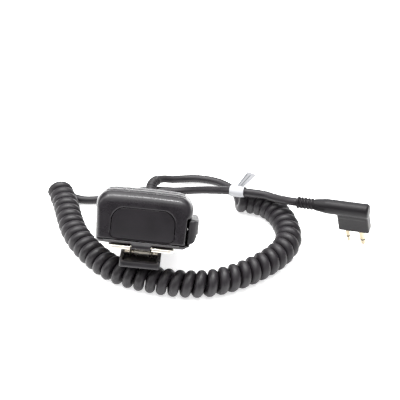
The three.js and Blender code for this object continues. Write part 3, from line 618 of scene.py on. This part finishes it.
PART_UP, PART_DOWN = 2.78, 2.42
front = hull()
boolean(front, [box(-40, 40, -5, 90, PART_UP, 60)], "INTERSECT")
boolean(front, [loft(IN_Y, 2.0)])
wall = box(20.2, 22.4, 1.2, 46, PART_UP, 22.9)
boolean(wall, [hull()], "INTERSECT")
seat = rod((0, SPK_Y, 20.3), (0, SPK_Y, 26.0), 16.3, 64)
boolean(seat, [rod((0, SPK_Y, 19), (0, SPK_Y, 27), 14.1, 64)])
cap = hull()
boolean(seat, [cap], "INTERSECT")
posts = []
for x, y in CASE_SCREWS:
    p = rod((x, y, PART_UP), (x, y, top_at(x, y) - 1.0), 2.9, 28)
    boolean(p, [hull()], "INTERSECT")
    posts.append(p)
boolean(front, [wall, seat] + posts, "UNION")
cuts = [prism([(-3, 1.6), (44.4, 1.6), (44.4, 10.6), (2.4, 16.9), (-3, 17.4)], 22.25, 40, "YZ"), box(19, 24, 19, 27, 6.8, 12.2), rod((0, 55, 10), (0, 55, 25), 0.9, 24), rod((0, 73.5, 7), (0, 86, 7), 3.75, 40)]
for x, y in CASE_SCREWS:
    cuts.append(rod((x, y, 0), (x, y, 10.1), 1.35, 20))
for y, h in GROOVES:
    prof = [(y - 1.75, 0.12), (y - 1.3, -0.10), (y - 1.05, -0.5), (y - 0.85, -1.0), (y - 0.4, -1.35), (y + 0.4, -1.35), (y + 0.85, -1.0), (y + 1.05, -0.5), (y + 1.3, -0.10), (y + 1.75, 0.12)]
    n = 40
    verts, faces, m = [], [], len(prof) + 2
    for i in range(n + 1):
        x = -h + 2 * h * i / n
        e = min(1.0, (h - abs(x)) / 2.2)
        k = math.sqrt(max(0.0, 1 - (1 - e) ** 2))
        base = [(x, yy if k > 0.999 else y + (yy - y) * (0.25 + 0.75 * k), top_at(x, y) + 0.02 + (d * k if d < 0 else d) - (0.0 if d < 0 else 0.0)) for yy, d in prof]
        base += [(x, y + 1.9 * (0.25 + 0.75 * k), top_at(x, y) + 6), (x, y - 1.9 * (0.25 + 0.75 * k), top_at(x, y) + 6)]
        verts += base
    for i in range(n):
        faces += [(i * m + k, i * m + (k + 1) % m, (i + 1) * m + (k + 1) % m, (i + 1) * m + k) for k in range(m)]
    faces += [tuple(range(m)), tuple(range(n * m, n * m + m))]
    cuts.append(mesh_object("t_groove", verts, faces))
    s = min(11.5, math.sqrt(max(0, 13.2 ** 2 - (y - SPK_Y) ** 2)))
    cuts.append(prism(rrect(-s, s, y - 0.6, y + 0.6, 0.55, 5), 17, 32))
INLAY = arc(13.7, 6.2, 2.6, -90, 0, 8) + arc(9.3, 12.9, 6.8, 0, 90, 16) + arc(-9.3, 12.9, 6.8, 90, 180, 16) + arc(-13.7, 6.2, 2.6, 180, 270, 8)


def grown(points, g, c=(0, 12.5)):
    out = []
    for x, z in points:
        dx, dz = x - c[0], z - c[1]
        q = math.hypot(dx, dz)
        out.append((x + g * dx / q, z + g * dz / q))
    return out


cuts.append(prism(grown(INLAY, 0.40), -1, 1.0, "XZ"))
cuts.append(prism([(19.4, 5.6), (19.9, 5.6), (19.9, 20.2), (19.4, 20.2)], -1, 0.5, "XZ"))
boolean(front, cuts)
soften(front, 0.34, 3, 0.42)
# the faces of the pocket wall beside the push-to-talk bar, which get the painted shade
shaded_gap = faces_in(front, (21.6, 1.5, 2.4), (22.9, 46, 17.5), 0, 0.4)
place(front, "front_case", MIC, MAT["shell"], nodes=["front_shell"])
paint_gap_shade(front, shaded_gap)

inlay = prism(INLAY, -0.06, 0.62, "XZ", r=0.22)
place(inlay, "end_panel_inlay", MIC, MAT["face"], nodes=["end_inlay"], smooth=30)

rear = hull()
boolean(rear, [box(-40, 40, -5, 90, -10, PART_DOWN)], "INTERSECT")
boolean(rear, [loft(IN_Y, 2.0)])
adds = [box(-5.1, 5.1, 1.0, 4.2, -1.85, 1.4, 0.3)]
for x, y in CASE_SCREWS:
    p = rod((x, y, 1.5), (x, y, PART_DOWN), 3.0, 28)
    boolean(p, [hull()], "INTERSECT")
    adds.append(p)
for x, y in CLIP_SCREWS:
    adds.append(rod((x, y, 1.5), (x, y, 5.4), 3.0, 28))
edge = [smooth_rows(y) for y in (3, 6, 10, 14, 18, 22, 26, 30, 34, 38, 42, 44.2)]
adds.append(prism([(20.4, 3)] + [(r[1] - 0.15, r[0]) for r in edge] + [(20.4, 44.2)], 1.35, PART_DOWN))
boolean(rear, adds, "UNION")
cuts = []
for x, y in CASE_SCREWS:
    cuts += [rod((x, y, -2), (x, y, 10), 1.55, 20), rod((x, y, -2), (x, y, 1.4), 2.7, 28)]
for x, y in CLIP_SCREWS:
    cuts.append(rod((x, y, -2), (x, y, 4.2), 1.35, 20))
boolean(rear, cuts)
soften(rear, 0.36, 2, 0.42)
# the faces of the rim down in the gap under the push-to-talk bar, which get the painted shade
shaded_gap = faces_in(rear, (21.2, 1.2, 1.3), (26, 46, 2.9), 2, 0.3)
place(rear, "rear_case", MIC, MAT["shell"], nodes=["rear_shell"])
paint_gap_shade(rear, shaded_gap)

# ------------------------------------------------------------------ push-to-talk bar
prof = [(23.5, 3.25), (24.6, 3.27), (25.6, 3.45), (26.5, 4.05), (27.1, 4.9), (27.5, 5.9), (27.85, 7.2), (28.15, 8.8), (28.4, 10.3), (28.6, 11.8), (28.68, 13.0), (28.5, 14.1), (28.0, 15.0), (27.2, 15.65), (26.3, 16.0), (25.2, 16.15), (23.5, 16.15)]
bar = prism(prof, 2.45, 43.35, "XZ")
plan = [(20, 2.45), (25.6, 2.45), (26.8, 2.9), (27.7, 3.9), (28.3, 5.4), (28.6, 8), (28.75, 14), (28.75, 32), (28.6, 37.0), (28.2, 40.2), (27.4, 42.0), (26.4, 43.0), (25.2, 43.35), (20, 43.35)]
boolean(bar, [prism(plan, 0, 30)], "INTERSECT")
boolean(bar, [prism([(2.0, 3.0), (44, 3.0), (44, 8.8), (42, 9.8), (4.4, 16.05), (3.2, 15.9), (2.4, 15.1), (2.0, 14.0)], 15, 32, "YZ")], "INTERSECT")
adds = [prism(rrect(y - 1.0, y + 1.0, 5.4, 10.9, 0.9, 6), 26, 28.75, "YZ") for y in (16, 23, 30)]
adds += [box(19.6, 23.6, 19.4, 26.6, 7.2, 11.8), box(17.9, 19.8, 17.8, 28.2, 7.2, 11.8)]
boolean(bar, adds, "UNION")
soften(bar, 0.28, 7, 0.4)
place(bar, "push_to_talk_bar", MIC, MAT["button"], body="ptt", nodes=["ptt_button"])

# ------------------------------------------------------------------ spring clip
half = 17.0
outline = [(-5.5, 0.2), (-5.5, 4.8), (5.5, 4.8), (5.5, 0.2)] + arc(half - 2.4, 2.6, 2.4, -90, 0, 8)[0:] + [(half, 9), (half - 3.5, 14), (11.5, 20), (11.5, 49)] + arc(8.5, 49, 3.0, 0, 90, 8) + arc(-8.5, 49, 3.0, 90, 180, 8) + [(-11.5, 20), (-half + 3.5, 14), (-half, 9)] + arc(-half + 2.4, 2.6, 2.4, 180, 270, 8)
plate = prism(outline, -2.05, -0.35)
adds = []
for s in (-1, 1):
    x0 = 5.2 if s > 0 else -6.1
    ear = [(17.6, -1.15), (17.6, -5.0), (20.2, -9.3)] + arc(22.0, -9.3, 1.75, 180, 360, 14)[1:-1] + [(23.8, -9.3), (26.4, -5.0), (26.4, -1.15)]
    adds.append(prism(ear, x0, x0 + 0.9, "YZ"))
boolean(plate, adds, "UNION")
boolean(plate, [rod((-12, 22, -9.3), (12, 22, -9.3), 1.2, 28)] + [rod((x, y, -4), (x, y, 2), 1.5, 24) for x, y in CLIP_SCREWS])
soften(plate, 0.24, 3, 0.35)
place(plate, "clip_mounting_plate", MIC, MAT["nickel"], nodes=["clip_plate"], smooth=50)

lw = 10.7
web = [(3.7, -12.55), (24, -12.55), (33, -9.55), (44.6, -4.75), (46.1, -3.6), (46.4, -2.45), (44.3, -2.45), (42.6, -3.7), (33, -8.1), (24, -11.4), (6.8, -11.4), (6.2, -9.4), (4.5, -8.75), (3.0, -9.4), (2.65, -11.2), (2.95, -12.1)]
lever = prism(web, -lw + 0.05, lw - 0.05, "YZ")
cheek = [(3.6, -11.8), (24, -11.8), (33, -8.9), (40, -5.7), (37, -6.0), (33, -7.2), (26, -7.8), (24.2, -6.9), (22, -6.5), (19.4, -6.1), (8, -7.6), (4.0, -7.9)]
boolean(lever, [prism(cheek, (lw - 1.7 if s > 0 else -lw + 0.05), (lw - 0.05 if s > 0 else -lw + 1.7), "YZ") for s in (-1, 1)], "UNION")
corner = [(lw + 1, 0), (lw - 2.2, 0)] + [(lw - 2.2 + 2.2 * math.sin(a), 4.8 - 2.2 * math.cos(a)) for a in (0.0, 0.26, 0.52, 0.78, 1.05, 1.31, 1.57)] + [(lw + 1, 4.8)]
cuts = [rod((-12, 22, -9.3), (12, 22, -9.3), 1.2, 28)]
for s in (-1, 1):
    cuts.append(prism([(s * x, y) for x, y in corner], -14, 0))
boolean(lever, cuts)
soften(lever, 0.28, 4, 0.4)
place(lever, "clip_finger_lever", MIC, MAT["lever"], body="lever", nodes=["clip_lever"])

pin = lathe([(0, 0), (0.05, 0.5), (0.25, 0.8), (0.5, 0.93), (0.7, 0.95), (20.1, 0.95), (20.3, 0.93), (20.55, 0.8), (20.75, 0.5), (20.8, 0)], (-10.4, 22, -9.3), (10.4, 22, -9.3), 32)
place(pin, "clip_hinge_pin", MIC, MAT["nickel"], nodes=["clip_pin"], smooth=50)
wire, turns = [], 11
for i in range(turns * 20 + 1):
    a = 2 * math.pi * i / 20
    wire.append(Vector((-4.35 + 8.7 * i / (turns * 20), 22 + 1.36 * math.sin(a), -9.3 + 1.36 * math.cos(a))))
# arms: one lies against the plate; the one towards the lever is laid out but not joined to the wire
arm_a = [Vector((-4.35, 16.8, -2.75)), Vector((-4.35, 18.0, -4.0)), Vector((-4.35, 19.6, -5.8)), Vector((-4.35, 20.9, -7.2))]
arm_b = [Vector((4.37, 23.0, -7.75)), Vector((4.4, 23.4, -8.9)), Vector((4.42, 23.0, -10.05))]
wire = arm_a + wire
spring = sweep("spring", [wire[0]] + wire[1:], 0.36, n=10, rounded=0.15)
place(spring, "clip_torsion_spring", MIC, MAT["wire"], nodes=["clip_spring"], smooth=0)


def screw_head(x, y, z0, z1, r, name, node, mat):
    """A pan head with a cross recess and its shank."""
    h = z1 - z0
    deep = min(0.6, h - 0.3)
    s = lathe([(0, 0), (0.0, r * 0.45), (0.12, r * 0.75), (0.32, r * 0.95), (0.5, r), (h, r), (h, 1.05), (7.4 if r < 2.4 else 6.6, 1.05), (7.9 if r < 2.4 else 6.9, 0.5), (8.1 if r < 2.4 else 6.95, 0)], (x, y, z0), (x, y, z0 + 1), 32)
    boolean(s, [box(x - 1.5, x + 1.5, y - 0.28, y + 0.28, z0 - 1, z0 + deep), box(x - 0.28, x + 0.28, y - 1.5, y + 1.5, z0 - 1, z0 + deep)])
    place(s, name, MIC, mat, nodes=[node], smooth=30)


for i, (x, y) in enumerate(CASE_SCREWS):
    screw_head(x, y, 0.17, 1.1, 2.33, f"case_screw_head_{i + 1}", f"case_screw_{i + 1}", MAT["steel"])
for i, (x, y) in enumerate(CLIP_SCREWS):
    screw_head(x, y, -3.38, -2.26, 2.48, f"clip_screw_head_{i + 1}", f"clip_screw_{i + 1}", MAT["steel"])

# ------------------------------------------------------------------ strain relief
rl = spline([tuple(p) for p in RELIEF_ROUTE], 0.22)
rs = [0.0]
for a, b in zip(rl, rl[1:]):
    rs.append(rs[-1] + (b - a).length)
RL = rs[-1]
ridge0, ridge1, ridges = 0.375 * RL, 0.985 * RL, 6


def relief_radius(i):
    s = rs[i]
    if s < 0.45:
        return 3.4
    if s < 2.0:
        return 4.35
    if s < 0.30 * RL:
        return 3.4
    core = 2.66 + 0.25 * max(0.0, 1 - (s - 0.3 * RL) / (0.3 * RL))
    if ridge0 <= s <= ridge1:
        q = (s - ridge0) / (ridge1 - ridge0) * ridges
        k, f = int(min(ridges - 1, q)), q - int(min(ridges - 1, q))
        rib = 3.38 - 0.075 * k
        g = max(0.0, min(1.0, (math.sin(math.pi * f) - 0.35) / 0.35))
        return core + (rib - core) * (g * g * (3 - 2 * g))
    return core


relief = sweep("relief", rl, relief_radius, n=36)
place(relief, "strain_relief_boot", LAID, MAT["rubber"], nodes=["cord_relief"], smooth=0)

# ------------------------------------------------------------------ paper tag
c0, c1 = Vector((49.4, 64.7, 16.75)), Vector((57.2, 61.75, 18.0))
tu = (c1 - c0).normalized()
t_side = tu.cross(Vector((0, 0.28, 0.96))).normalized()
tw = t_side.cross(tu).normalized()
tn = tu.cross(tw)
N = 48
verts, faces = [], []
for j in range(9):
    t = j / 8
    p = c0.lerp(c1, t)
    for k in range(N):
        a = 2 * math.pi * k / N
        wave = 0.06 * noise.noise(Vector((t * 3, math.cos(a) * 2, math.sin(a) * 2)))
        d = tw * math.cos(a) + tn * math.sin(a)
        flat = 1.0 + 0.06 * max(0.0, math.cos(a)) ** 6
        verts += [p + d * (3.08 * flat + wave), p + d * (2.86 * flat + wave)]
for j in range(8):
    for k in range(N):
        a, b = (j * N + k) * 2, (j * N + (k + 1) % N) * 2
        c, d = ((j + 1) * N + k) * 2, ((j + 1) * N + (k + 1) % N) * 2
        faces += [(a, b, d, c), (a + 1, c + 1, d + 1, b + 1)]
for k in range(N):
    a, b = 2 * k, 2 * ((k + 1) % N)
    faces.append((a, a + 1, b + 1, b))
    a, b = (8 * N + k) * 2, (8 * N + (k + 1) % N) * 2
    faces.append((a, b, b + 1, a + 1))
wrap = mesh_object("wrap", verts, faces)
place(wrap, "tag_wrap", LAID, MAT["paper"], smooth=50)
# the flag: a thin sheet that leaves the wrap and leans away, slightly curled
nu, nv, th = 18, 28, 0.22
base0, base1, tip1, tip0 = (3.3, 2.95), (7.7, 2.95), (16.2, 11.2), (10.2, 12.4)
verts, faces, uv = [], [], []
for s in (0, 1):
    for j in range(nv + 1):
        v = j / nv
        for i in range(nu + 1):
            u = i / nu
            a = (base0[0] + (base1[0] - base0[0]) * u) * (1 - v) + (tip0[0] + (tip1[0] - tip0[0]) * u) * v
            b = (base0[1] + (base1[1] - base0[1]) * u) * (1 - v) + (tip0[1] + (tip1[1] - tip0[1]) * u) * v
            curl_n = 0.35 * math.sin(v * 2.2) * (u - 0.4) + 0.15 * math.sin(u * 5 + v * 3)
            verts.append(c0 + tu * a + tw * b + tn * ((s - 0.5) * th + curl_n))
            uv.append((v, u))
m = (nu + 1) * (nv + 1)
for s in (0, 1):
    for j in range(nv):
        for i in range(nu):
            q = (s * m + j * (nu + 1) + i, s * m + j * (nu + 1) + i + 1, s * m + (j + 1) * (nu + 1) + i + 1, s * m + (j + 1) * (nu + 1) + i)
            faces.append(q if s else q[::-1])
rim = [i for i in range(nu + 1)] + [j * (nu + 1) + nu for j in range(1, nv + 1)] + [nv * (nu + 1) + i for i in range(nu - 1, -1, -1)] + [j * (nu + 1) for j in range(nv - 1, 0, -1)]
for a, b in zip(rim, rim[1:] + rim[:1]):
    faces.append((a, b, m + b, m + a))
me = bpy.data.meshes.new("flag")
me.from_pydata([tuple(v) for v in verts], [], faces)
layer = me.uv_layers.new(name="rules")
for lp in me.loops:
    layer.data[lp.index].uv = uv[lp.vertex_index]
bm = bmesh.new()
bm.from_mesh(me)
bmesh.ops.recalc_face_normals(bm, faces=bm.faces)
bm.to_mesh(me)
bm.free()
flag = bpy.data.objects.new("flag", me)
SC.collection.objects.link(flag)
place(flag, "tag_flag", LAID, MAT["paper"], nodes=["cord_tag"], smooth=50)

# ------------------------------------------------------------------ plug
shape = lathe([(0, 0), (0, 2.7), (10.6, 2.8), (10.75, 3.3), (11.2, 3.4), (16.6, 4.15), (17.2, 4.19), (39.4, 4.19), (39.9, 4.1), (40.4, 3.8), (40.75, 3.2), (40.85, 2.6), (40.85, 0)], (-26.85, 0, 0), (-25, 0, 0), 48)
adds = []
for i in range(6):
    r = 3.45 if i == 0 else 3.28
    adds.append(lathe([(0, 0), (0, r - 0.3), (0.12, r - 0.1), (0.3, r), (0.9, r), (1.08, r - 0.1), (1.2, r - 0.3), (1.2, 0)], (-26.87 + 1.95 * i, 0, 0), (0, 0, 0), 48))
adds.append(prism(rrect(-4.15, 13.35, -3.15, 3.15, 1.1, 6), -14.95, -1, r=0.35))
adds.append(prism(rrect(-3.6, 12.8, -3.3, 3.3, 1.0, 6), -4.9, -3.2, r=0.1))
boolean(shape, adds, "UNION")
boolean(shape, [rod((0, 0, -30), (0, 0, -12.0), 1.4, 32), rod((8.3, 0, -30), (8.3, 0, -12.0), 1.9, 32)])
soften(shape, 0.24, 3, 0.4)
place(shape, "plug_housing", PLUG, MAT["plug"], nodes=["plug_body"])
for x, name, r, tip in ((0, "pin_small", 1.25, -26.0), (8.3, "pin_large", 1.75, -27.02)):
    z = tip + 3.9
    parts = [
        ("sleeve", [(0, 0), (0, r - 0.12), (0.12, r), (-12.25 - z - 0.95 - 0.1, r), (-12.25 - z - 0.95, 0)], z + 0.95, MAT["brass"], "plated_brass"),
        ("insulator", [(0, 0), (0, r * 0.96), (0.75, r * 0.96), (0.75, 0)], z + 0.1, MAT["plug"], "black_plastic"),
        ("tip", [(0, 0), (0.03, r * 0.25), (0.12, r * 0.42), (0.35, r * 0.58), (0.7, r * 0.72), (1.0, r * 0.77), (1.3, r * 0.78), (1.7, r * 0.73), (2.1, r * 0.67), (2.5, r * 0.67), (2.9, r * 0.74), (3.3, r * 0.88), (3.55, r * 0.94), (3.9, r * 0.94), (3.9, 0)], tip, MAT["brass"], "plated_brass"),
    ]
    for kind, profile, z0, mat, slot in parts:
        o = lathe(profile, (x, 0, z0), (x, 0, z0 + 1), 36)
        place(o, f"{name}_{kind}_turned", PLUG, mat, nodes=[f"{name}_{kind}"], smooth=35)

# ------------------------------------------------------------------ what the body holds inside: CAD shapes with their own materials
inside = {"speaker_frame": "steel", "speaker_magnet": "magnet", "speaker_cone": "cone", "speaker_gasket": "rubber", "dust_felt": "felt", "circuit_board": "board", "board_connector": "white",
          "mic_capsule": "can", "mic_boot": "rubber", "ptt_switch": "lever", "ptt_plunger": "white", "inner_cable": "cord"}
for node, mat in inside.items():
    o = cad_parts[node]
    o.data.materials.clear()
    o.data.materials.append(MAT[mat])

# ------------------------------------------------------------------ floor, backdrop and light
me = bpy.data.meshes.new("floor")
me.from_pydata([(-6, -6, -0.0002), (6, -6, -0.0002), (6, 6, -0.0002), (-6, 6, -0.0002)], [], [(0, 1, 2, 3)])
floor = bpy.data.objects.new("floor", me)
SC.collection.objects.link(floor)
fm, nt, b = nodes_of("pale_floor")
n = noise_tex(nt, 40, 3)
r = ramp(nt, n.outputs["Fac"], [(0.3, (0.90, 0.90, 0.90, 1)), (0.7, (0.93, 0.93, 0.93, 1))])
link(nt, r.outputs["Color"], b.inputs["Base Color"])
b.inputs["Roughness"].default_value = 0.9
b.inputs["Specular IOR Level"].default_value = 0.1
b.inputs["Emission Color"].default_value = (1, 1, 1, 1)
b.inputs["Emission Strength"].default_value = 0.62
me.materials.append(fm)

w = bpy.data.worlds.new("studio")
SC.world = w
w.use_nodes = True
nt = w.node_tree
bg = nt.nodes["Background"]
tc = nt.nodes.new("ShaderNodeTexCoord")
sep = nt.nodes.new("ShaderNodeSeparateXYZ")
nt.links.new(tc.outputs["Generated"], sep.inputs[0])
# a plain studio: dimmer round the horizon and in front, bright overhead
sky = ramp(nt, sep.outputs["Z"], [(0.0, (0.30, 0.30, 0.31, 1)), (0.25, (0.26, 0.26, 0.27, 1)), (0.75, (1.0, 1.0, 1.0, 1)), (1.0, (1.15, 1.15, 1.15, 1))])
nt.links.new(sky.outputs["Color"], bg.inputs["Color"])
bg.inputs["Strength"].default_value = 0.9


def area(name, loc, target, size, power, colour=(1, 1, 1)):
    d = bpy.data.lights.new(name, "AREA")
    d.shape = "RECTANGLE"
    d.size, d.size_y = size
    d.energy = power
    d.color = colour
    o = bpy.data.objects.new(name, d)
    SC.collection.objects.link(o)
    o.location = loc
    o.rotation_euler = (Vector(target) - Vector(loc)).to_track_quat("-Z", "Y").to_euler()
    return o


area("overhead_strip", (-0.02, 0.20, 1.05), (0, 0, 0.03), (0.8, 0.07), 13)
area("overhead_soft", (-0.1, 0.10, 1.35), (0, 0, 0.02), (1.9, 1.6), 36)
area("back_soft", (0.05, 1.45, 1.0), (0, 0, 0.02), (1.8, 0.7), 8)
area("left_soft", (-1.2, -0.15, 0.8), (0, 0, 0.02), (0.5, 0.7), 7)

SC.view_settings.view_transform = "Standard"
